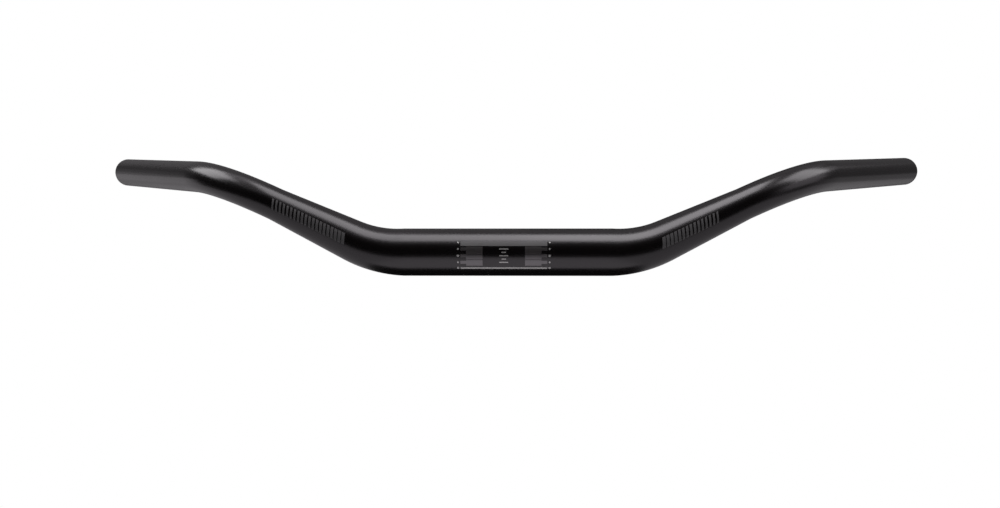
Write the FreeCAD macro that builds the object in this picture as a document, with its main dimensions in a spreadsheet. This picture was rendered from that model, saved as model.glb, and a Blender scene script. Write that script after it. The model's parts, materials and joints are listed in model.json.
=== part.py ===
"""Cruiser handlebar: one aluminium tube, drawn down from a thick clamp zone to slim grips.

The tube is bent twice on each side. The rise bend lifts the arm and leans it back a little,
and the sweep bend lays the grip level and turns it back to the rider. Millimetres and degrees.
The origin is the middle of the clamp zone. +X runs along the clamp zone to the rider's left,
+Y points back to the rider and +Z is up.
"""
import FreeCAD, Part
import math
import os

import Sketcher

NODE = "handlebar"

# Driving sizes: name, value and what it is on the bar
SIZES = (
    ("clamp_diameter", 31.8, "outside of the straight middle that the stem holds"),
    ("clamp_wall", 2.4, "wall of the straight middle"),
    ("clamp_length", 140, "straight middle between the two rise bends"),
    ("rise_bend_radius", 80, "centre line of the bend that lifts the arm"),
    ("rise_bend_angle", 25.5, "turn of that bend"),
    ("rise_bend_lean", 20, "lean of that bend's plane, back from upright"),
    ("arm_length", 60, "straight arm between the two bends"),
    ("sweep_bend_radius", 95, "centre line of the bend that sweeps the grip back"),
    ("backsweep_angle", 54, "level angle from the clamp zone's line to the grip's line"),
    ("grip_diameter", 22.2, "outside of the sweep bend and the grip"),
    ("grip_wall", 2.2, "wall of the sweep bend and the grip"),
    ("grip_length", 170, "straight grip, from the sweep bend to the open end"),
    ("end_round", 0.8, "rounded outer edge of the open end"),
    ("bore_chamfer", 0.5, "broken inner edge of the open end"),
)

# Radii of the tube at its thick and its slim stretch
CLAMP_OUTSIDE = "Sizes.clamp_diameter / 2"
CLAMP_BORE = "Sizes.clamp_diameter / 2 - Sizes.clamp_wall"
GRIP_OUTSIDE = "Sizes.grip_diameter / 2"
GRIP_BORE = "Sizes.grip_diameter / 2 - Sizes.grip_wall"

# The level grip's direction along the axes of the arm: towards the centre of the rise bend,
# square to the plane of that bend, and along the arm
GRIP_INWARD = (
    "(cos(Sizes.rise_bend_angle) * sin(Sizes.backsweep_angle) * sin(Sizes.rise_bend_lean)"
    " - sin(Sizes.rise_bend_angle) * cos(Sizes.backsweep_angle))"
)
GRIP_ASIDE = "(0 - sin(Sizes.backsweep_angle) * cos(Sizes.rise_bend_lean))"
GRIP_ALONG = (
    "(cos(Sizes.rise_bend_angle) * cos(Sizes.backsweep_angle)"
    " + sin(Sizes.rise_bend_angle) * sin(Sizes.backsweep_angle) * sin(Sizes.rise_bend_lean))"
)
SWEEP_BEND_ROLL = f"atan2({GRIP_ASIDE}; {GRIP_INWARD})"
SWEEP_BEND_ANGLE = f"acos({GRIP_ALONG})"

# Rough sizes that the sketches are drawn at before the sheet sets them
DRAWN_LENGTH = 100
DRAWN_OUTSIDE = 12
DRAWN_BORE = 10
DRAWN_ANGLE = math.radians(30)

# How near two points or radii lie when they are the same
SAME_PLACE = 0.001

# How a sketch numbers the ends and the centre of a line or arc, its own level axis, and its origin
FIRST, LAST, MIDDLE = range(1, 4)
ACROSS = -FIRST
ORIGIN = (ACROSS, FIRST)


def add_sizes(doc):
    """The sheet of driving sizes, one row each."""
    sheet = doc.addObject("Spreadsheet::Sheet", "Sizes")
    for row, (name, value, meaning) in enumerate(SIZES, start=1):
        sheet.set(f"A{row}", str(value))
        sheet.setAlias(f"A{row}", name)
        sheet.set(f"B{row}", meaning)
    doc.recompute()


def origin_plane(body, role):
    """One of the body's own three planes."""
    return next(feature for feature in body.Origin.OriginFeatures if feature.Role == role)


def moved(x, z):
    """A step within the plane of a bend, with no turn."""
    return f"placement(vector({x}; 0; {z}); rotation(vector(0; 1; 0); 0))"


def turned(axis, angle):
    """A turn about one of the tube's own axes, with no step."""
    return f"placement(vector(0; 0; 0); rotation(vector({axis}); {angle}))"


def bent(radius, angle):
    """From the start of a bend to its end: the tube turns from its own Z towards its own X."""
    step = moved(f"{radius} * (1 - cos({angle}))", f"{radius} * sin({angle})")
    return f"{step} * {turned('0; 1; 0', angle)}"


def add_stations(body):
    """Frames along the left half: Z follows the tube, X points to the centre of the bend there."""
    start = moved("Sizes.clamp_length / 2", "0")
    lean = turned("1; 0; 0", "0 - Sizes.rise_bend_lean")
    facing = f"{turned('0; 1; 0', '90')} * {turned('0; 0; 1', '180')}"
    rise_bend = bent("Sizes.rise_bend_radius", "Sizes.rise_bend_angle")
    roll = turned("0; 0; 1", SWEEP_BEND_ROLL)
    sweep_bend = bent("Sizes.sweep_bend_radius", SWEEP_BEND_ANGLE)
    chain = (
        ("clamp_end", f"{start} * {lean} * {facing}"),
        ("rise_end", f"clamp_end.Placement * {rise_bend}"),
        ("arm_end", f"rise_end.Placement * {moved('0', 'Sizes.arm_length')}"),
        ("sweep_start", f"arm_end.Placement * {roll}"),
        ("sweep_end", f"sweep_start.Placement * {sweep_bend}"),
        ("grip_end", f"sweep_end.Placement * {moved('0', 'Sizes.grip_length')}"),
    )
    for name, place in chain:
        station = body.newObject("PartDesign::CoordinateSystem", name)
        station.setExpression("Placement", place)


def add_sketch(body, name, role, place=None):
    """A sketch on one of the body's planes, carried to a station where one is given."""
    sketch = body.newObject("Sketcher::SketchObject", name)
    sketch.AttachmentSupport = [(origin_plane(body, role), "")]
    sketch.MapMode = "FlatFace"
    if place:
        sketch.setExpression("AttachmentOffset", place)
    return sketch


def bind(sketch, name, size, kind, *where):
    """Add a constraint that holds a size, and tie it to the sheet."""
    index = sketch.addConstraint(Sketcher.Constraint(kind, *where))
    sketch.renameConstraint(index, name)
    sketch.setExpression(f"Constraints.{name}", size)


def add_ring(sketch, outside, bore):
    """The tube's own section: two circles about the sketch's origin."""
    for name, radius, drawn in (("outside", outside, DRAWN_OUTSIDE), ("bore", bore, DRAWN_BORE)):
        circle = sketch.addGeometry(Part.Circle(FreeCAD.Vector(), FreeCAD.Vector(0, 0, 1), drawn))
        sketch.addConstraint(Sketcher.Constraint("Coincident", circle, MIDDLE, *ORIGIN))
        bind(sketch, f"{name}_radius", radius, "Radius", circle, drawn)


def add_clamp_zone(body):
    """The straight, thick middle, half of it on each side of the origin."""
    section = add_sketch(body, "clamp_section", "YZ_Plane")
    add_ring(section, CLAMP_OUTSIDE, CLAMP_BORE)
    zone = body.newObject("PartDesign::Pad", "clamp_zone")
    zone.Profile = section
    zone.Midplane = True
    zone.setExpression("Length", "Sizes.clamp_length")


def add_arm_path(body):
    """Centre line of the rise bend and the arm: an arc from the clamp zone's end, then a line."""
    path = add_sketch(body, "arm_path", "XY_Plane", f"clamp_end.Placement * {turned('1; 0; 0', '90')}")
    circle = Part.Circle(FreeCAD.Vector(DRAWN_LENGTH, 0, 0), FreeCAD.Vector(0, 0, 1), DRAWN_LENGTH)
    arc = path.addGeometry(Part.ArcOfCircle(circle, math.pi - DRAWN_ANGLE, math.pi))
    bend_end = path.getPoint(arc, FIRST)
    along = FreeCAD.Vector(math.sin(DRAWN_ANGLE), math.cos(DRAWN_ANGLE), 0)
    line = path.addGeometry(Part.LineSegment(bend_end, bend_end + along * DRAWN_LENGTH))
    path.addConstraint(Sketcher.Constraint("Coincident", arc, LAST, *ORIGIN))
    path.addConstraint(Sketcher.Constraint("PointOnObject", arc, MIDDLE, ACROSS))
    path.addConstraint(Sketcher.Constraint("Tangent", arc, FIRST, line, FIRST))
    bind(path, "bend_radius", "Sizes.rise_bend_radius", "Radius", arc, DRAWN_LENGTH)
    bind(path, "bend_angle", "Sizes.rise_bend_angle * 1 deg", "Angle", arc, DRAWN_ANGLE)
    bind(path, "arm_length", "Sizes.arm_length", "Distance", line, DRAWN_LENGTH)
    return path


def add_arm(body):
    """The rise bend and the arm: one sweep that thins from the clamp's section to the grip's."""
    path = add_arm_path(body)
    thick = add_sketch(body, "arm_start_section", "XY_Plane", "clamp_end.Placement")
    add_ring(thick, CLAMP_OUTSIDE, CLAMP_BORE)
    slim = add_sketch(body, "arm_end_section", "XY_Plane", "arm_end.Placement")
    add_ring(slim, GRIP_OUTSIDE, GRIP_BORE)
    arm = body.newObject("PartDesign::AdditivePipe", "arm")
    arm.Profile = thick
    arm.Spine = (path, ["Edge1", "Edge2"])
    arm.Sections = [slim]
    arm.Transformation = "Multisection"
    return arm


def add_sweep_bend(body):
    """The second bend: the grip's section turned about the bend's axis."""
    section = add_sketch(body, "sweep_section", "XY_Plane", "sweep_start.Placement")
    add_ring(section, GRIP_OUTSIDE, GRIP_BORE)
    low = FreeCAD.Vector(DRAWN_LENGTH, -DRAWN_LENGTH / 2, 0)
    high = FreeCAD.Vector(DRAWN_LENGTH, DRAWN_LENGTH / 2, 0)
    axis = section.addGeometry(Part.LineSegment(low, high), True)
    section.addConstraint(Sketcher.Constraint("Symmetric", axis, FIRST, axis, LAST, ACROSS))
    bind(section, "bend_radius", "Sizes.sweep_bend_radius", "DistanceX", *ORIGIN, axis, FIRST, DRAWN_LENGTH)
    bind(section, "axis_length", "Sizes.sweep_bend_radius", "Distance", axis, DRAWN_LENGTH)
    bend = body.newObject("PartDesign::Revolution", "sweep_bend")
    bend.Profile = section
    bend.ReferenceAxis = (section, ["Axis0"])
    bend.setExpression("Angle", SWEEP_BEND_ANGLE)
    return bend


def add_grip(body):
    """The straight, level end that takes the grip and the levers."""
    section = add_sketch(body, "grip_section", "XY_Plane", "sweep_end.Placement")
    add_ring(section, GRIP_OUTSIDE, GRIP_BORE)
    grip = body.newObject("PartDesign::Pad", "grip")
    grip.Profile = section
    grip.setExpression("Length", "Sizes.grip_length")
    return grip


def add_right_half(body, left_half):
    """The arm, bend and grip again, mirrored about the middle of the clamp zone."""
    mirrored = body.newObject("PartDesign::Mirrored", "right_half")
    mirrored.Originals = left_half
    mirrored.MirrorPlane = (origin_plane(body, "YZ_Plane"), [""])
    body.Tip = mirrored
    body.Document.recompute()
    return mirrored


def end_edges(base, radius):
    """Names of the round edges of this radius at the two open ends."""
    left = base.Document.getObject("grip_end").Placement.Base
    right = FreeCAD.Vector(-left.x, left.y, left.z)
    names = []
    for number, edge in enumerate(base.Shape.Edges, start=1):
        if not isinstance(edge.Curve, Part.Circle):
            continue
        off_centre = min(edge.Curve.Center.distanceToPoint(tip) for tip in (left, right))
        if off_centre < SAME_PLACE and abs(edge.Curve.Radius - radius) < SAME_PLACE:
            names.append(f"Edge{number}")
    return names


def add_open_ends(body, base):
    """Rounded outer edges and broken inner edges where the tube is cut off."""
    sheet = body.Document.getObject("Sizes")
    outside = sheet.grip_diameter / 2
    rounds = body.newObject("PartDesign::Fillet", "end_rounds")
    rounds.Base = (base, end_edges(base, outside))
    rounds.setExpression("Radius", "Sizes.end_round")
    body.Document.recompute()
    chamfers = body.newObject("PartDesign::Chamfer", "bore_chamfers")
    chamfers.Base = (rounds, end_edges(rounds, outside - sheet.grip_wall))
    chamfers.setExpression("Size", "Sizes.bore_chamfer")
    body.Document.recompute()


def build():
    """The whole bar as one body of a new document."""
    doc = FreeCAD.newDocument("cruiser_handlebar")
    add_sizes(doc)
    body = doc.addObject("PartDesign::Body", NODE)
    body.Label = NODE
    add_stations(body)
    add_clamp_zone(body)
    left_half = [add_arm(body), add_sweep_bend(body), add_grip(body)]
    mirrored = add_right_half(body, left_half)
    add_open_ends(body, mirrored)
    return doc, body


def check(doc, body):
    """Stop if anything failed to build, or the bar isn't one sound solid."""
    failed = [item.Name for item in doc.Objects if {"Invalid", "Error"} & set(item.State)]
    if failed:
        raise RuntimeError(f"failed to build: {', '.join(failed)}")
    shape = body.Shape
    if shape.isNull() or not shape.isValid() or len(shape.Solids) != 1:
        raise RuntimeError("the bar is not one sound solid")


def main():
    doc, body = build()
    check(doc, body)
    os.makedirs("parts", exist_ok=True)
    body.Shape.exportStep(f"parts/{body.Label}.step")
    box = body.Shape.optimalBoundingBox()
    print(f"{body.Label}: {box.XLength:.1f} x {box.YLength:.1f} x {box.ZLength:.1f} mm")
    print(f"volume {body.Shape.Volume / 1000:.2f} cubic centimetres, {len(body.Shape.Faces)} faces")


main()
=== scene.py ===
# %% [markdown]
# # A swept-back cruiser handlebar
# The real bar is one aluminium tube: thick in the middle, where the stem clamps it, and drawn slim
# towards the grips. It is bent up and back on each side, finished in satin black and printed with
# a scale for setting its angle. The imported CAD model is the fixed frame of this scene. It says
# where the tube lies, and everything here is made in metres around it.
# +X runs to the rider's left, +Y points back to the rider and +Z is up.

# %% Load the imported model
import json
import math
from collections import namedtuple
from itertools import product

import bmesh
import bpy
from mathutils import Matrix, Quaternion, Vector
from mathutils.bvhtree import BVHTree


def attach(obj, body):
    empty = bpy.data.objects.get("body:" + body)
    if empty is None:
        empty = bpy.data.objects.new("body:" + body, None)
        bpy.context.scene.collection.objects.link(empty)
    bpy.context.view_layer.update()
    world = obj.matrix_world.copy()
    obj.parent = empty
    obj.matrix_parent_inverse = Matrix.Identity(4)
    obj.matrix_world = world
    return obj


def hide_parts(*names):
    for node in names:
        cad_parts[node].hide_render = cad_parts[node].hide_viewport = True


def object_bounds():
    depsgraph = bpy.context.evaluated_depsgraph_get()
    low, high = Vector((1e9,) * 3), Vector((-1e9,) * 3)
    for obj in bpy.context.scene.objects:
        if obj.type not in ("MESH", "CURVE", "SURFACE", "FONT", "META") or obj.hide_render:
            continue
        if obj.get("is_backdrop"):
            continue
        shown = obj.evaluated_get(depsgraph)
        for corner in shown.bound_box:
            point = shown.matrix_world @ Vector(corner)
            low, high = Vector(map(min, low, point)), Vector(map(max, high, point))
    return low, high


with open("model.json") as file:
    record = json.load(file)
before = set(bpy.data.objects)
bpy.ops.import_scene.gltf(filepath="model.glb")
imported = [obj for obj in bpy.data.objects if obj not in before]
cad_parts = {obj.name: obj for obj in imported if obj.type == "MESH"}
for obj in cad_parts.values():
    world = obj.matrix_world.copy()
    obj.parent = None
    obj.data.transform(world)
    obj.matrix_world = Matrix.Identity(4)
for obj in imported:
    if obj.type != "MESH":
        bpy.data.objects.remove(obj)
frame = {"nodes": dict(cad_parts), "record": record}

BODY = "root"
NODE = "handlebar"
MM = 0.001
scene = bpy.context.scene
cad_box = [list(corner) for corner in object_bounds()]
print("CAD box in metres:", [[round(x, 4) for x in corner] for corner in cad_box])

# %% [markdown]
# ## Sizes of the bar
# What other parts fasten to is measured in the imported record: the clamp zone, the grips and the
# open ends. Reading those sizes here keeps the looks true to the CAD. The bends and the wall of
# the clamp zone are no interface, so they are written once more, as on the maker's drawing.

# %% Read the mounts and set the bends
mounts = {mount["name"]: mount["dims"] for mount in frame["record"]["mounts"]}
CLAMP_RADIUS = mounts["stem_clamp"]["r_mm"] * MM
CLAMP_HALF = mounts["stem_clamp"]["length_mm"] / 2 * MM
GRIP_RADIUS = mounts["left_grip"]["r_mm"] * MM
GRIP_BORE = mounts["left_bar_end"]["r_mm"] * MM
CLAMP_WALL = 2.4 * MM
CLAMP_BORE = CLAMP_RADIUS - CLAMP_WALL
RISE_BEND_RADIUS = 80 * MM
RISE_BEND_ANGLE = math.radians(25.5)
RISE_BEND_LEAN = math.radians(20)
ARM_LENGTH = 60 * MM
SWEEP_BEND_RADIUS = 95 * MM
BACKSWEEP_ANGLE = math.radians(54)
GRIP_LENGTH = 170 * MM
END_ROUND = 0.8 * MM
BORE_CHAMFER = 0.5 * MM
print(f"clamp zone {2 * CLAMP_RADIUS / MM:.1f} mm, grips {2 * GRIP_RADIUS / MM:.1f} mm thick")

# %% [markdown]
# ## The centre line
# A bending machine makes such a bar from straight stretches and circular bends, so its centre line
# is not a free curve. A Bezier curve would only come near it. Here each stretch is a small function
# that says where the tube is after some travel, and which way its front and its top face there.
# The sides turn with the bend and never twist, as those of a real tube do.

# %% Straight and bent stretches
Station = namedtuple("Station", "place ahead front top")


def straight(start, length):
    """A stretch straight on from start: its length, and the station after some travel."""
    return length, lambda travel: start._replace(place=start.place + start.ahead * travel)


def bent(start, radius, new_ahead):
    """A circular bend from start until the tube points along new_ahead."""
    axis, angle = start.ahead.rotation_difference(new_ahead).to_axis_angle()
    centre = start.place + axis.cross(start.ahead) * radius

    def station(travel):
        spin = Quaternion(axis, travel / radius)
        place = centre + spin @ (start.place - centre)
        return Station(place, *(spin @ side for side in start[1:]))

    return radius * angle, station


print(f"the rise bend takes {RISE_BEND_RADIUS * RISE_BEND_ANGLE / MM:.1f} mm of tube")

# %% [markdown]
# ## From the middle to the grip
# Half a bar is five stretches: the clamp zone, the rise bend, the arm, the sweep bend and the grip.
# A bend needs no axis of its own if the direction after it is known, so the arm and the grip are
# given as directions. The other half is a mirror image, as the bending machine makes it.

# %% Lay the stretches end to end
climb = math.sin(RISE_BEND_ANGLE)
arm_ahead = Vector((
    math.cos(RISE_BEND_ANGLE),
    climb * math.sin(RISE_BEND_LEAN),
    climb * math.cos(RISE_BEND_LEAN),
))
grip_ahead = Vector((math.cos(BACKSWEEP_ANGLE), math.sin(BACKSWEEP_ANGLE), 0))
here = Station(Vector((0, 0, 0)), Vector((1, 0, 0)), Vector((0, -1, 0)), Vector((0, 0, 1)))
travelled = 0.0
stretches = []
for make, *sizes in (
    (straight, CLAMP_HALF),
    (bent, RISE_BEND_RADIUS, arm_ahead),
    (straight, ARM_LENGTH),
    (bent, SWEEP_BEND_RADIUS, grip_ahead),
    (straight, GRIP_LENGTH),
):
    length, station = make(here, *sizes)
    stretches.append((travelled, station))
    here = station(length)
    travelled += length
BAR_HALF = travelled
starts = [start for start, station in stretches]
print("stretches start at", [round(start / MM, 1) for start in starts], "mm from the middle")
print(f"half of the tube is {BAR_HALF / MM:.1f} mm long")

# %% [markdown]
# ## Points on the tube
# One function turns a place on the straight tube, as it was before bending, into a point in space:
# how far along, how far round from the front, and how far out from the centre line. Distances
# below zero lie on the right half, which mirrors the left one. The drawn tube slims evenly over
# the rise bend and the arm.

# %% Place a point on the tube
TAPER_START = starts[1]
TAPER_END = starts[3]


def drawn_radius(distance, thick, slim):
    """Radius of the drawn tube at this distance from the middle."""
    share = (abs(distance) - TAPER_START) / (TAPER_END - TAPER_START)
    return thick + (slim - thick) * min(max(share, 0.0), 1.0)


def outside_radius(distance):
    """Outer radius of the tube at this distance from the middle."""
    return drawn_radius(distance, CLAMP_RADIUS, GRIP_RADIUS)


def point_on_tube(distance, angle, radius):
    """A point at this distance from the middle, turned by angle from the front to the top."""
    start, station = next(s for s in reversed(stretches) if s[0] <= abs(distance))
    here = station(abs(distance) - start)
    point = here.place + (here.front * math.cos(angle) + here.top * math.sin(angle)) * radius
    if distance < 0:
        point.x = -point.x
    return point


print("front of the middle:", point_on_tube(0, 0, CLAMP_RADIUS))

# %% [markdown]
# ## The skin of the tube
# The CAD solid is right but faceted, and a satin black finish shows every facet in its highlights.
# This piece has the same form with finer rings. A curve with a bevel could not have a bore, a
# taper and a rounded lip at once, so the rings are worked out one by one: along the outside, round
# the lip, back along the bore, and over the other lip to close the skin without a gap.

# %% Rings along the outside, the lips and the bore
ROW_STEP = 3 * MM
BORE_ROW_STEP = 6 * MM
SIDES = 96
LIP_STEPS = 6


def rows_to(end, step):
    """Distances from the middle to end, even in each stretch and meeting where it starts."""
    marks = starts + [end]
    rows = [0.0]
    for start, stop in zip(marks, marks[1:]):
        count = math.ceil((stop - start) / step)
        rows += [start + (stop - start) * (i + 1) / count for i in range(count)]
    return rows


def lip_ring(step):
    """One ring of the rounded outer edge, from the outside to the cut face."""
    turn = math.pi / 2 * step / LIP_STEPS
    distance = BAR_HALF - END_ROUND * (1 - math.sin(turn))
    return distance, GRIP_RADIUS - END_ROUND * (1 - math.cos(turn))


outside = [(row, outside_radius(row)) for row in rows_to(BAR_HALF - END_ROUND, ROW_STEP)]
lip = [lip_ring(step + 1) for step in range(LIP_STEPS)] + [(BAR_HALF, GRIP_BORE + BORE_CHAMFER)]
bore_rows = reversed(rows_to(BAR_HALF - BORE_CHAMFER, BORE_ROW_STEP))
bore = [(row, drawn_radius(row, CLAMP_BORE, GRIP_BORE)) for row in bore_rows]
left_half = outside + lip + bore
rings = left_half + [(-row, radius) for row, radius in reversed(left_half[1:-1])]
print(len(rings), "rings of", SIDES, "points")

# %% Sew the rings into one closed skin
SHARP_EDGE = math.radians(30)
turns = [2 * math.pi * side / SIDES for side in range(SIDES)]
skin = bpy.data.meshes.new("bent_tube")
skin.from_pydata(
    [point_on_tube(row, turn, radius) for row, radius in rings for turn in turns],
    [],
    [
        (
            ring * SIDES + side,
            (ring + 1) % len(rings) * SIDES + side,
            (ring + 1) % len(rings) * SIDES + (side + 1) % SIDES,
            ring * SIDES + (side + 1) % SIDES,
        )
        for ring in range(len(rings))
        for side in range(SIDES)
    ],
)
skin.shade_smooth()
skin.set_sharp_from_angle(angle=SHARP_EDGE)
bent_tube = bpy.data.objects.new("bent_tube", skin)
scene.collection.objects.link(bent_tube)
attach(bent_tube, BODY)
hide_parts(NODE)
print(len(skin.polygons), "faces, valid:", not skin.validate())

# %% [markdown]
# ## A flat pattern of the skin
# A finish that is stored as pictures needs a flat pattern of the skin. A tube unrolls by itself:
# along it one way and round it the other. Cut in the middle and at the lips, it gives four strips,
# the outside and the bore of each half, and they fill a square. An automatic pattern would cut the
# bends into odd slivers.

# %% Unroll the skin
PATTERN_GAP = 0.01
lip_edge = len(outside) + len(lip) - 1
cuts = (0, lip_edge, len(left_half) - 1, len(rings) - lip_edge, len(rings))
strip_radii = (CLAMP_RADIUS, CLAMP_BORE, CLAMP_BORE, CLAMP_RADIUS)
room = 1 - PATTERN_GAP * len(cuts)
profile = [0.0]
for ring, next_ring in zip(rings, rings[1:] + rings[:1]):
    profile.append(profile[-1] + math.dist(ring, next_ring))
flat = []
foot = PATTERN_GAP
for first, last, radius in zip(cuts, cuts[1:], strip_radii):
    height = room * radius / sum(strip_radii)
    for ring in range(first, last):
        for side in range(SIDES):
            for r, s in ((ring, side), (ring + 1, side), (ring + 1, side + 1), (ring, side + 1)):
                along = (profile[r] - profile[first]) / (profile[last] - profile[first])
                flat += [PATTERN_GAP + (1 - 2 * PATTERN_GAP) * along, foot + height * s / SIDES]
    foot += height + PATTERN_GAP
skin.uv_layers.new(name="OFBake").data.foreach_set("uv", flat)
print(len(strip_radii), "strips with", len(flat) // 2, "corners, up to", round(max(flat), 3))

# %% [markdown]
# ## Is it still the CAD tube?
# A replacement keeps the form of what it stands for. A search tree over the CAD mesh gives the
# nearest point of the solid for each new point, and the largest distance has to be no more than
# the coarseness of the CAD facets.

# %% Measure the skin against the solid
solid = frame["nodes"][NODE].data
facets = BVHTree.FromPolygons(
    [v.co for v in solid.vertices], [list(p.vertices) for p in solid.polygons]
)
apart = max(facets.find_nearest(v.co)[3] for v in skin.vertices)
print(f"largest distance from the solid: {apart / MM:.3f} mm")

# %% [markdown]
# ## Where a spot was on the straight tube
# The tube was drawn straight and bent afterwards, so its drawing lines run along it and follow
# every bend. The mesh remembers for each point where it was on the straight tube, and the finishes
# read their patterns there. World coordinates would let the lines run out of the bends.

# %% Remember the straight tube
STRAIGHT = "straight_tube"


def remember_straight(mesh, spots):
    """Store each point's place on the straight tube: along, to the front and to the top."""
    attribute = mesh.attributes.new(STRAIGHT, "FLOAT_VECTOR", "POINT")
    flat = []
    for distance, angle, radius in spots:
        flat += [distance, radius * math.cos(angle), radius * math.sin(angle)]
    attribute.data.foreach_set("vector", flat)


remember_straight(skin, [(row, turn, radius) for row, radius in rings for turn in turns])
print("stored", STRAIGHT, "for", len(skin.vertices), "points")

# %% [markdown]
# ## Shader maths as Python
# A finish is a tree of nodes. Wiring each Math node by hand is slow to read, so a Wire stands for
# one output, and adding or multiplying wires adds the nodes that work it out. A number may stand
# on either side of the sign.

# %% A wire
class Wire:
    """One output of a node. Arithmetic on it adds Math nodes, or Vector Math for a vector."""

    def __init__(self, bench, socket):
        self.bench = bench
        self.socket = socket

    def __getitem__(self, name):
        return Wire(self.bench, self.socket.node.outputs[name])

    def maths(self, operation, first, second):
        kind = "ShaderNodeVectorMath" if self.socket.type == "VECTOR" else "ShaderNodeMath"
        return self.bench.node(kind, {"operation": operation}, {0: first, 1: second})

    def __add__(self, other):
        return self.maths("ADD", self, other)

    def __radd__(self, other):
        return self.maths("ADD", other, self)

    def __mul__(self, other):
        return self.maths("MULTIPLY", self, other)

    def __rmul__(self, other):
        return self.maths("MULTIPLY", other, self)


print("wires can be added and multiplied")

# %% [markdown]
# ## A bench for each finish
# A Bench clears the tree that Blender gives a new material and holds the nodes of one finish. Its
# node method makes any node. Settings come before sockets, because a setting such as the data type
# of a Mix decides which sockets the node shows.

# %% A bench
class Bench:
    """The node tree of one finish, of the floor or of the world."""

    def __init__(self, owner):
        owner.use_nodes = True
        self.tree = owner.node_tree
        self.tree.nodes.clear()

    def node(self, kind, settings, sockets):
        """Add a node: its settings first, then the values or wires of its sockets."""
        node = self.tree.nodes.new(kind)
        for name, value in settings.items():
            setattr(node, name, value)
        for key, value in sockets.items():
            if isinstance(key, int):
                socket = node.inputs[key]
            else:
                socket = next(s for s in node.inputs if s.name == key and s.enabled)
            if isinstance(value, Wire):
                self.tree.links.new(value.socket, socket)
            else:
                socket.default_value = value
        shown = [output for output in node.outputs if output.enabled]
        return Wire(self, shown[0]) if shown else None

    def noise(self, place, scale, detail):
        """Soft cloudy noise about 0.5, of this scale along each axis of place."""
        return self.node(
            "ShaderNodeTexNoise", {}, {"Vector": place * scale, "Scale": 1.0, "Detail": detail}
        )

    def mixed(self, share, first, second):
        """A colour between two, by share."""
        return self.node(
            "ShaderNodeMix", {"data_type": "RGBA"}, {"Factor": share, "A": first, "B": second}
        )

    def bumped(self, height, strength, distance):
        """The normal of a surface with this fine relief."""
        return self.node(
            "ShaderNodeBump", {}, {"Height": height, "Strength": strength, "Distance": distance}
        )


print("shader bench ready")

# %% [markdown]
# ## Satin black finish
# The finished tube is near-black, with a soft sheen that is not a mirror. A dyed coat is clear on
# top, so the sheen comes from its refractive index and not from the black below. Black dye in such
# a coat leans a little towards purple in the sheen, and towards red in the black itself.

# %% The coat
SHEEN_TINT = (1.0, 0.955, 1.0, 1)
COAT_IOR = 1.7


def straight_place(bench):
    """Where a shaded spot was on the straight tube."""
    return bench.node("ShaderNodeAttribute", {"attribute_name": STRAIGHT}, {})["Vector"]


def coat(bench, colour, roughness, normal, ior=COAT_IOR, metal=0.0):
    """A clear-topped coat, with a share of metal flakes if asked, and the material's output."""
    surface = bench.node("ShaderNodeBsdfPrincipled", {}, {
        "Base Color": colour,
        "Roughness": roughness,
        "Normal": normal,
        "IOR": ior,
        "Metallic": metal,
        "Specular Tint": SHEEN_TINT,
    })
    bench.node("ShaderNodeOutputMaterial", {}, {"Surface": surface})


print("coat of refractive index", COAT_IOR)

# %% [markdown]
# ## Lines and grain
# Fine drawing lines still show faintly along the tube, under an even blasted grain. Both are far
# finer than a mesh could hold, so noise in the shader makes them. A slow cloud makes the sheen a
# little uneven, the lines run along the tube, and the grain is alike in every direction. They change
# the colour hardly at all, the roughness a little, and the relief by hundredths of a millimetre.

# %% Coat the tube
CLOUD_SCALE = (22, 22, 22)
LINE_SCALE = (8, 1400, 1400)
GRAIN_SCALE = (2600, 2600, 2600)
BLACK = (0.0006, 0.0001, 0.0001, 1)
WORN_BLACK = (0.0018, 0.0004, 0.0004, 1)
SATIN_ROUGHNESS = 0.215
CLOUD_ROUGHNESS = 0.05
LINE_ROUGHNESS = 0.04
SATIN_RELIEF = 0.02 * MM
SATIN_BUMP = 0.08
LINE_SHARE = 0.5
GRAIN_SHARE = 0.6


def satin_black():
    """Satin black over drawn aluminium, with fine lines along the tube and a blasted grain."""
    material = bpy.data.materials.new("satin_black")
    bench = Bench(material)
    place = straight_place(bench)
    cloud = bench.noise(place, CLOUD_SCALE, detail=2.0)
    lines = bench.noise(place, LINE_SCALE, detail=2.0)
    grain = bench.noise(place, GRAIN_SCALE, detail=1.0)
    wear = cloud * (1 - LINE_SHARE) + lines * LINE_SHARE
    colour = bench.mixed(wear, BLACK, WORN_BLACK)
    roughness = SATIN_ROUGHNESS + cloud * CLOUD_ROUGHNESS + lines * LINE_ROUGHNESS
    height = grain * GRAIN_SHARE + lines * (1 - GRAIN_SHARE)
    coat(bench, colour, roughness, bench.bumped(height, SATIN_BUMP, SATIN_RELIEF))
    return material


skin.materials.append(satin_black())
print("outside:", skin.materials[0].name, "with", len(skin.materials[0].node_tree.nodes), "nodes")

# %% [markdown]
# ## Finish of the bore
# Inside the open ends the coat is thinner and nothing has blasted it, so the lines of the drawing
# plug stay plain to see. The bore is a second material on the same skin: its faces are those
# between the two lips.

# %% Mix the bore's finish and give it to the inner faces
BORE_LINE_SCALE = (5, 900, 900)
BORE_BLACK = (0.012, 0.011, 0.012, 1)
BORE_GREY = (0.045, 0.043, 0.044, 1)
BORE_ROUGHNESS = 0.32
BORE_LINE_ROUGHNESS = 0.18
BORE_RELIEF = 0.05 * MM
BORE_BUMP = 0.3
BORE_LINE_SHARE = 0.7


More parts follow.
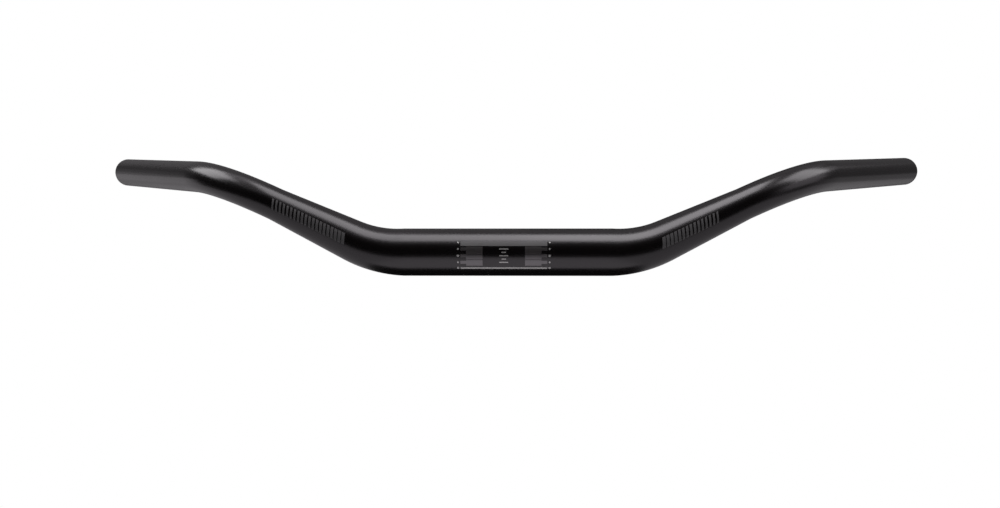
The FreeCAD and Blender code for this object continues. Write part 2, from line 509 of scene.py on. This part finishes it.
def drawn_bore():
    """Thin dark coat with plain drawing lines."""
    material = bpy.data.materials.new("drawn_bore")
    bench = Bench(material)
    place = straight_place(bench)
    lines = bench.noise(place, BORE_LINE_SCALE, detail=3.0)
    cloud = bench.noise(place, CLOUD_SCALE, detail=2.0)
    wear = lines * BORE_LINE_SHARE + cloud * (1 - BORE_LINE_SHARE)
    colour = bench.mixed(wear, BORE_BLACK, BORE_GREY)
    roughness = BORE_ROUGHNESS + lines * BORE_LINE_ROUGHNESS
    coat(bench, colour, roughness, bench.bumped(lines, BORE_BUMP, BORE_RELIEF))
    return material


skin.materials.append(drawn_bore())
for face in skin.polygons:
    face.material_index = int(lip_edge <= face.index // SIDES < len(rings) - lip_edge)
inner_faces = sum(face.material_index for face in skin.polygons)
print(inner_faces, "faces wear the bore's finish")

# %% [markdown]
# ## Printing on a tube
# A pad or a transfer lays a film of ink on the finished tube. The print is drawn flat first: along
# the tube, round it from its front line, and up from its skin. Then every point is wrapped round
# the tube. Each mark is a closed film, standing a fiftieth of a millimetre proud, so it catches
# light at its own roughness. Painting marks in the tube's shader would blur them in a baked map.

# %% A film of ink
INK_FILM = 0.02 * MM
INK_ROOT = 0.05 * MM


def ink_block(sheet, outline_rows):
    """A closed film over rows of flat places, each row as long as the others."""
    tops = [[sheet.verts.new((x, y, INK_FILM)) for x, y in row] for row in outline_rows]
    roots = [[sheet.verts.new((x, y, -INK_ROOT)) for x, y in row] for row in outline_rows]
    for grid in (tops, roots):
        for row, next_row in zip(grid, grid[1:]):
            for i in range(len(row) - 1):
                corners = [row[i], row[i + 1], next_row[i + 1], next_row[i]]
                sheet.faces.new(corners if grid is tops else corners[::-1])
    top_rim, root_rim = rim(tops), rim(roots)
    for i in range(len(top_rim)):
        sheet.faces.new((root_rim[i - 1], root_rim[i], top_rim[i], top_rim[i - 1]))


def rim(rows):
    """The points round the edge of a grid, once round."""
    right = [row[-1] for row in rows[1:-1]]
    left = [row[0] for row in reversed(rows[1:-1])]
    return rows[0] + right + list(reversed(rows[-1])) + left


print(f"ink stands {INK_FILM / MM} mm proud and reaches {INK_ROOT / MM} mm into the coat")

# %% [markdown]
# ## Bars and dots
# Two kinds of mark make the whole print. A bar is cut into steps of a millimetre, so that it bends
# with the tube and doesn't sink into it. A dot is a stack of short rows, each as wide as the circle
# is there.

# %% Marks on a flat sheet
INK_STEP = 1.0 * MM
DOT_SIDES = 20


def ink_bar(sheet, along, width, low, high, lean=0.0):
    """A straight mark from low to high round the tube, leaning along it if asked."""
    columns = math.ceil(width / INK_STEP)
    rows = math.ceil((high - low) / INK_STEP)
    ink_block(sheet, [
        [
            (along + width * i / columns + lean * j / rows, low + (high - low) * j / rows)
            for i in range(columns + 1)
        ]
        for j in range(rows + 1)
    ])


def ink_dot(sheet, along, height, radius):
    """A round mark, in rows from its bottom to its top."""
    rows = []
    for i in range(1, DOT_SIDES):
        half = radius * math.sin(math.pi * i / DOT_SIDES)
        level = height - radius * math.cos(math.pi * i / DOT_SIDES)
        rows.append([(along - half, level), (along + half, level)])
    ink_block(sheet, rows)


print(f"a bar bends every {INK_STEP / MM:.0f} mm, a dot has {DOT_SIDES - 1} rows")

# %% [markdown]
# ## Wrapping the print
# A flat place becomes an angle round the tube by dividing it by the radius there, so a mark keeps
# its width on the taper. The print remembers the straight tube too, because its inks read their
# patterns there.

# %% Wrap a sheet round the tube
def wrapped_print(name, sheet, material):
    """Wrap a flat sheet of marks round the tube and let it ride on the bar."""
    spots = []
    for vertex in sheet.verts:
        along, girth, height = vertex.co
        radius = outside_radius(along)
        spots.append((along, girth / radius, radius + height))
        vertex.co = point_on_tube(*spots[-1])
    mesh = bpy.data.meshes.new(name)
    sheet.to_mesh(mesh)
    sheet.free()
    remember_straight(mesh, spots)
    mesh.shade_smooth()
    mesh.set_sharp_from_angle(angle=SHARP_EDGE)
    mesh.materials.append(material)
    piece = bpy.data.objects.new(name, mesh)
    scene.collection.objects.link(piece)
    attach(piece, BODY)
    print(name, "has", len(mesh.polygons), "faces")


print(f"a millimetre of print is {math.degrees(MM / CLAMP_RADIUS):.1f} degrees of the clamp zone")

# %% [markdown]
# ## Inks
# The print uses four inks. The broad bars are a dark pearl ink, which mirrors more than the coat
# does. The strip is a matt grey, the dots, ticks and rule are a silver with metal flakes, and the
# hatching is a dark grey. Printed ink is rougher than the coat below it and never quite even, so
# fine noise thins it in spots.

# %% Mix the inks
SPECK_SCALE = (3200, 3200, 3200)
SPECK_ROUGHNESS = 0.08
SPECK_RELIEF = 0.01 * MM
SPECK_BUMP = 0.1
SPECK_SHARE = 0.6
PEARL_IOR = 2.6
FLAKE_SHARE = 0.7


def ink(name, thin, full, roughness, ior=COAT_IOR, metal=0.0):
    """A printed ink between a thin and a full tone."""
    material = bpy.data.materials.new(name)
    bench = Bench(material)
    place = straight_place(bench)
    specks = bench.noise(place, SPECK_SCALE, detail=2.0)
    cloud = bench.noise(place, CLOUD_SCALE, detail=2.0)
    cover = specks * SPECK_SHARE + cloud * (1 - SPECK_SHARE)
    colour = bench.mixed(cover, (*thin, 1), (*full, 1))
    relief = bench.bumped(specks, SPECK_BUMP, SPECK_RELIEF)
    coat(bench, colour, roughness + specks * SPECK_ROUGHNESS, relief, ior, metal)
    return material


pearl_ink = ink("pearl_ink", (0.009, 0.006, 0.005), (0.018, 0.014, 0.012), 0.34, ior=PEARL_IOR)
grey_ink = ink("grey_ink", (0.112, 0.108, 0.110), (0.158, 0.153, 0.156), 0.50)
silver_ink = ink("silver_ink", (0.52, 0.51, 0.505), (0.80, 0.79, 0.78), 0.42, metal=FLAKE_SHARE)
shadow_ink = ink("shadow_ink", (0.080, 0.076, 0.080), (0.150, 0.145, 0.150), 0.34)
print("inks:", pearl_ink.name, grey_ink.name, silver_ink.name, shadow_ink.name)

# %% [markdown]
# ## The setting scale
# Round the front of the clamp zone runs a scale that helps to set the bar straight and at the right
# angle: a column of five dots at each end, a strip above, broad bars beside a dark window, and a rule
# below. The dots are evenly spaced round the tube, and the larger ones mark the middle and the foot.
# A tongue of each bar points at a dot. A ladder of ticks in the window repeats the rows of the dots,
# with a short tick halfway between.

# %% Print the setting scale
SCALE_MIDDLE = -2.5 * MM
SCALE_HALF = 30.2 * MM
STRIP_END = 28.6 * MM
BAR_END = 24.8 * MM
TONGUE_HEIGHT = 2.2 * MM
WINDOW_HALF = 14 * MM
TOP_DOT = 8.1 * MM
DOT_PITCH = 4.5 * MM
DOT_RADII = (0.5 * MM, 0.6 * MM, 0.8 * MM, 0.6 * MM, 0.85 * MM)
STRIP = (5.6 * MM, 9.0 * MM)
BARS = ((-0.2 * MM, 5.2 * MM), (-3.4 * MM, -0.5 * MM), (-8.0 * MM, -3.8 * MM))
RULE = (-10.65 * MM, -9.3 * MM)
TICKS = 5
TICK_HEIGHT = 0.7 * MM
LONG_TICK = 6.0 * MM
SHORT_TICK = 3.0 * MM

strip = bmesh.new()
bars = bmesh.new()
marks = bmesh.new()
ink_bar(strip, SCALE_MIDDLE - STRIP_END, 2 * STRIP_END, *STRIP)
for bar_start, tongue_start in ((-BAR_END, -STRIP_END), (WINDOW_HALF, BAR_END)):
    for row, low_and_high in enumerate(BARS):
        foot = TOP_DOT - DOT_PITCH * (row + 1) - TONGUE_HEIGHT / 2
        ink_bar(bars, SCALE_MIDDLE + bar_start, BAR_END - WINDOW_HALF, *low_and_high)
        ink_bar(bars, SCALE_MIDDLE + tongue_start, STRIP_END - BAR_END, foot, foot + TONGUE_HEIGHT)
ink_bar(marks, SCALE_MIDDLE - STRIP_END, 2 * STRIP_END, *RULE)
for row, radius in enumerate(DOT_RADII):
    for side in (-1, 1):
        ink_dot(marks, SCALE_MIDDLE + side * SCALE_HALF, TOP_DOT - DOT_PITCH * row, radius)
for tick in range(TICKS):
    length = SHORT_TICK if tick % 2 else LONG_TICK
    foot = TOP_DOT - DOT_PITCH * (1 + tick / 2) - TICK_HEIGHT / 2
    ink_bar(marks, SCALE_MIDDLE - length / 2, length, foot, foot + TICK_HEIGHT)
wrapped_print("scale_strip", strip, grey_ink)
wrapped_print("scale_bars", bars, pearl_ink)
wrapped_print("scale_marks", marks, silver_ink)

# %% [markdown]
# ## Hatching on the arms
# Each arm carries a band of slanted hatching on the side that faces forward. Little light falls
# there, so its dark grey stands out only a little from the bar. The strokes grow thinner towards
# the grip.

# %% Print the hatching
LEFT_HATCH = (100 * MM, 144 * MM)
RIGHT_HATCH = (107 * MM, 166 * MM)
HATCH_PITCH = 2.9 * MM
HATCH_LOW = -2.6 * MM
HATCH_HIGH = 4.8 * MM
HATCH_LEAN = 2.6 * MM
WIDEST_STROKE = 2.3 * MM
FINEST_STROKE = 1.4 * MM


def hatched_arm(name, side, start, end):
    """A band of slanted strokes from start to end along one half, thinner towards the end."""
    sheet = bmesh.new()
    count = round((end - start) / HATCH_PITCH)
    for i in range(count):
        width = WIDEST_STROKE + (FINEST_STROKE - WIDEST_STROKE) * i / (count - 1)
        along = start + HATCH_PITCH * i
        first = along if side > 0 else -along - width
        ink_bar(sheet, first, width, HATCH_LOW, HATCH_HIGH, side * HATCH_LEAN)
    wrapped_print(name, sheet, shadow_ink)


hatched_arm("left_hatch", 1, *LEFT_HATCH)
hatched_arm("right_hatch", -1, *RIGHT_HATCH)

# %% [markdown]
# ## What the eye sees and what light sees
# In a white studio the background is white, but so much light from everywhere would wash the form
# out of a black tube. Light Path tells the two apart: white for what is looked at, directly or in
# gloss, and dimmer for what only gives light.

# %% Tell looks from light
WHITE = (1, 1, 1, 1)


def seen_directly(bench):
    """1 for rays from the camera, from gloss and through glass, and 0 for light itself."""
    path = bench.node("ShaderNodeLightPath", {}, {})
    shown = path["Is Camera Ray"] + path["Is Glossy Ray"] + path["Is Transmission Ray"]
    return bench.node("ShaderNodeMath", {"operation": "MINIMUM"}, {0: shown, 1: 1.0})


print("background white:", WHITE[:3])

# %% [markdown]
# ## Paint for the floor
# The floor is white to the eye, and a share of plain paint keeps the shadow on it. Towards its rim
# it fades out, and from below it can be seen through, so that the underside can be looked at too.

# %% Mix the floor's paint
FLOOR_RADIUS = 0.46
FADE_START = 0.28
FLOOR_GLOW = 0.8
FLOOR_WHITE = (0.86, 0.86, 0.86, 1)


def floor_paint():
    """White to the eye, with a share of paint that takes the shadow."""
    material = bpy.data.materials.new("floor_paint")
    bench = Bench(material)
    place = bench.node("ShaderNodeTexCoord", {}, {})["Object"]
    away = bench.node("ShaderNodeVectorMath", {"operation": "LENGTH"}, {0: place})["Value"]
    fade = bench.node("ShaderNodeMapRange", {"interpolation_type": "SMOOTHSTEP"}, {
        "Value": away,
        "From Min": FADE_START,
        "From Max": FLOOR_RADIUS,
    })
    below = bench.node("ShaderNodeNewGeometry", {}, {})["Backfacing"]
    gone = bench.node("ShaderNodeMath", {"operation": "MAXIMUM"}, {0: fade, 1: below})
    paint = bench.node("ShaderNodeBsdfDiffuse", {}, {"Color": FLOOR_WHITE})
    glow = bench.node("ShaderNodeEmission", {}, {"Color": WHITE})
    surface = bench.node(
        "ShaderNodeMixShader", {}, {0: seen_directly(bench) * FLOOR_GLOW, 1: paint, 2: glow}
    )
    clear = bench.node("ShaderNodeBsdfTransparent", {}, {})
    faded = bench.node("ShaderNodeMixShader", {}, {0: gone, 1: surface, 2: clear})
    bench.node("ShaderNodeOutputMaterial", {}, {"Surface": faded})
    return material


print(f"the floor fades from {FADE_START} to {FLOOR_RADIUS} m")

# %% [markdown]
# ## The floor
# The bar hangs in front of a white studio, as its picture shows it. The floor is a pale disc, far
# enough below to keep the soft shadow out of the picture. A disc suits it better than a square,
# because its rim fades alike on all sides.

# %% Lay the floor
FLOOR_DROP = 0.34
FLOOR_SIDES = 96
FLOOR_LEVEL = cad_box[0][2] - FLOOR_DROP


def disc(name, radius):
    """A flat round sheet."""
    sheet = bmesh.new()
    bmesh.ops.create_circle(sheet, cap_ends=True, segments=FLOOR_SIDES, radius=radius)
    mesh = bpy.data.meshes.new(name)
    sheet.to_mesh(mesh)
    sheet.free()
    return bpy.data.objects.new(name, mesh)


floor = disc("floor", FLOOR_RADIUS)
floor.location = (0, (cad_box[0][1] + cad_box[1][1]) / 2, FLOOR_LEVEL)
floor.data.materials.append(floor_paint())
scene.collection.objects.link(floor)
floor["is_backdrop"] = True
print(f"floor at {FLOOR_LEVEL:.3f} m")

# %% [markdown]
# ## White surroundings
# The world is white wherever the camera, gloss or glass looks into it, at a strength of 1. As light
# it is weaker, so that the softboxes give the bar its form.

# %% Set the world
WORLD_LIGHT = 0.12
world = bpy.data.worlds.new("white_studio")
bench = Bench(world)
dim = bench.node("ShaderNodeBackground", {}, {"Color": WHITE, "Strength": WORLD_LIGHT})
white = bench.node("ShaderNodeBackground", {}, {"Color": WHITE, "Strength": 1.0})
sky = bench.node("ShaderNodeMixShader", {}, {0: seen_directly(bench), 1: dim, 2: white})
bench.node("ShaderNodeOutputWorld", {}, {"Surface": sky})
scene.world = world
print("world light", WORLD_LIGHT)

# %% [markdown]
# ## Softboxes
# A black glossy tube is drawn by what it mirrors. Two softboxes hang over it edge to edge, a little
# to the front, and draw the long highlight along the top. The left one is brighter, so the light
# comes more from that side. One more stands high on each side and lights the bends that sweep back.
# Each is set by the brightness that the tube mirrors, and its watts follow.

# %% Hang the softboxes
Softbox = namedtuple("Softbox", "name place aim width height brightness")
SOFTBOXES = (
    Softbox("top_right_softbox", (-0.17, -0.19, 1.0), (-0.18, 0, 0), 0.36, 0.70, 2.5),
    Softbox("top_left_softbox", (0.19, -0.19, 1.0), (0.18, 0, 0), 0.36, 0.70, 3.5),
    Softbox("right_softbox", (-0.90, 0.17, 0.72), (0, 0, 0), 0.66, 0.62, 3.2),
    Softbox("left_softbox", (0.96, 0.01, 0.76), (0, 0, 0), 0.75, 0.75, 2.4),
)


def hang_softbox(box):
    """A flat lamp that faces its aim and is itself out of the picture."""
    lamp = bpy.data.lights.new(box.name, "AREA")
    lamp.shape = "RECTANGLE"
    lamp.size = box.width
    lamp.size_y = box.height
    lamp.energy = box.brightness * math.pi * box.width * box.height
    piece = bpy.data.objects.new(box.name, lamp)
    piece.location = box.place
    away = Vector(box.place) - Vector(box.aim)
    piece.rotation_euler = away.to_track_quat("Z", "Y").to_euler()
    piece.visible_camera = False
    scene.collection.objects.link(piece)
    print(f"{box.name} of {lamp.energy:.1f} W")


for box in SOFTBOXES:
    hang_softbox(box)

# %% [markdown]
# ## Cards
# Round the bar stand grey and black cards, as in a photographer's tent. Black ones in front and at
# the right keep the face of the tube black. Dim ones at the sides and the back keep the grips dark
# above, and paler ones low at the sides lift them below. They step down in tone, because a hard
# edge would show as a line along the grip. Pale ones beside the softboxes let their light run out
# softly. Cards on the floor hold its white to a patch in front.

# %% Cut the cards
TENT_SIDE = 1.25
TENT_FRONT = -0.95
TENT_BACK = 1.25
TENT_TOP = 1.1
CARD_GAP = 0.01
CARD_LEVEL = FLOOR_LEVEL + CARD_GAP
SHADE_BACK = 0.35
# Front and top edge of each card at the sides
RIGHT_LOW = (0.36, -0.02)
RIGHT_MID = (0.72, 0.10)
RIGHT_HIGH = (0.76, 0.24)
LEFT_LOW = (-0.55, 0.15)
LEFT_SKIRT = (0.10, -0.05)
LEFT_MID = (-0.72, 0.50)
LEFT_HIGH = (0.22, 0.85)
# Back edge of left_high
LEFT_FAR = 1.02
PATCH = (-0.26, 0.22)
PATCH_BACK = -0.075
CEILING = ((-0.75, -0.20), (-0.10, 0.50))
ACROSS = (-TENT_SIDE, TENT_SIDE)
ALONG = (TENT_FRONT, TENT_BACK)
UPRIGHT = (CARD_LEVEL, TENT_TOP)
RIGHT_WALL = (-TENT_SIDE + CARD_GAP,)
LEFT_WALL = (TENT_SIDE - CARD_GAP,)
UNDER_TOP = (TENT_TOP - CARD_GAP,)
Card = namedtuple("Card", "name x y z grey")
CARDS = (
    Card("front_card", ACROSS, (TENT_FRONT,), UPRIGHT, 0.01),
    Card("right_back", (-TENT_SIDE, 0), (TENT_BACK,), UPRIGHT, 0.18),
    Card("left_back", (0, TENT_SIDE), (TENT_BACK,), UPRIGHT, 0.11),
    Card("right_card", (-TENT_SIDE,), (TENT_FRONT, SHADE_BACK), UPRIGHT, 0.02),
    Card("right_rear", (-TENT_SIDE,), (SHADE_BACK, TENT_BACK), UPRIGHT, 0.08),
    Card("left_card", (TENT_SIDE,), ALONG, UPRIGHT, 0.08),
    Card("right_low", RIGHT_WALL, (RIGHT_LOW[0], TENT_BACK), (CARD_LEVEL, RIGHT_LOW[1]), 0.50),
    Card("right_mid", RIGHT_WALL, (RIGHT_MID[0], TENT_BACK), (RIGHT_LOW[1], RIGHT_MID[1]), 0.29),
    Card("right_high", RIGHT_WALL, (RIGHT_HIGH[0], TENT_BACK), (RIGHT_MID[1], RIGHT_HIGH[1]), 0.17),
    Card("left_low", LEFT_WALL, (LEFT_LOW[0], LEFT_SKIRT[0]), (LEFT_SKIRT[1], LEFT_LOW[1]), 0.60),
    Card("left_mid", LEFT_WALL, (LEFT_MID[0], LEFT_HIGH[0]), (LEFT_LOW[1], LEFT_MID[1]), 0.65),
    Card("left_high", LEFT_WALL, (LEFT_HIGH[0], LEFT_FAR), (LEFT_MID[1], LEFT_HIGH[1]), 0.36),
    Card("left_skirt", LEFT_WALL, (LEFT_SKIRT[0], TENT_BACK), (CARD_LEVEL, LEFT_SKIRT[1]), 0.20),
    Card("top_card", ACROSS, ALONG, (TENT_TOP,), 0.25),
    Card("right_ceiling", *CEILING, UNDER_TOP, 0.75),
    Card("front_floor", PATCH, (TENT_FRONT, PATCH_BACK), (CARD_LEVEL,), 0.63),
    # Painted shade: this black card on the floor behind the bar stands in for the shadow under and
    # behind it, which the tube mirrors.
    Card("painted_shade_floor", PATCH, (PATCH_BACK, TENT_BACK), (CARD_LEVEL,), 0.01),
    Card("right_floor", (-TENT_SIDE, PATCH[0]), ALONG, (CARD_LEVEL,), 0.44),
    Card("left_floor", (PATCH[1], TENT_SIDE), ALONG, (CARD_LEVEL,), 0.40),
)
print(len(CARDS), "cards round a tent of", 2 * TENT_SIDE, "m")

# %% [markdown]
# ## Standing the cards
# A card is flat, so it has one number along one axis and two along the others, and its corners are
# their combinations. The cards show only in gloss: they are out of the picture and take no light
# away. Their grey leans as little to purple as the coat does.

# %% Stand the cards
CARD_TINT = (1.0, 0.965, 1.0, 1)


def stand_card(card):
    """A flat card, seen only in gloss."""
    mesh = bpy.data.meshes.new(card.name)
    mesh.from_pydata(list(product(card.x, card.y, card.z)), [], [(0, 1, 3, 2)])
    material = bpy.data.materials.new(card.name)
    bench = Bench(material)
    glow = bench.node("ShaderNodeEmission", {}, {"Color": CARD_TINT, "Strength": card.grey})
    bench.node("ShaderNodeOutputMaterial", {}, {"Surface": glow})
    mesh.materials.append(material)
    piece = bpy.data.objects.new(card.name, mesh)
    for sight in ("camera", "diffuse", "transmission", "volume_scatter", "shadow"):
        setattr(piece, f"visible_{sight}", False)
    scene.collection.objects.link(piece)
    piece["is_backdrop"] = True


for card in CARDS:
    stand_card(card)
print("cards:", ", ".join(card.name for card in CARDS))

# %% [markdown]
# ## The camera
# The picture was taken from the front, a hand's breadth above the bar and a little to its side. The
# place, the angles and the lens come from fitting the outline of the bar to the picture.

# %% Set the camera
CAMERA_PLACE = (15.5 * MM, -756.9 * MM, 71.4 * MM)
CAMERA_PITCH = math.radians(-5.48)
CAMERA_ROLL = math.radians(0.12)
CAMERA_YAW = math.radians(1.57)
CAMERA_LENS = 40.77
SENSOR_WIDTH = 36
camera_data = bpy.data.cameras.new("camera")
camera_data.sensor_width = SENSOR_WIDTH
camera_data.lens = CAMERA_LENS
camera = bpy.data.objects.new("camera", camera_data)
camera.location = CAMERA_PLACE
camera.rotation_euler = (math.pi / 2 + CAMERA_PITCH, CAMERA_ROLL, CAMERA_YAW)
scene.collection.objects.link(camera)
scene.camera = camera
scene.view_settings.view_transform = "Standard"
print("camera", [round(x, 3) for x in CAMERA_PLACE], "lens", CAMERA_LENS, "mm")

# %% Measure the visual box against the CAD box
visual_box = [list(corner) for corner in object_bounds()]
growth = max(abs(a - b) for c, v in zip(cad_box, visual_box) for a, b in zip(c, v))
print(f"visual box within {growth / MM:.3f} mm of the CAD box")
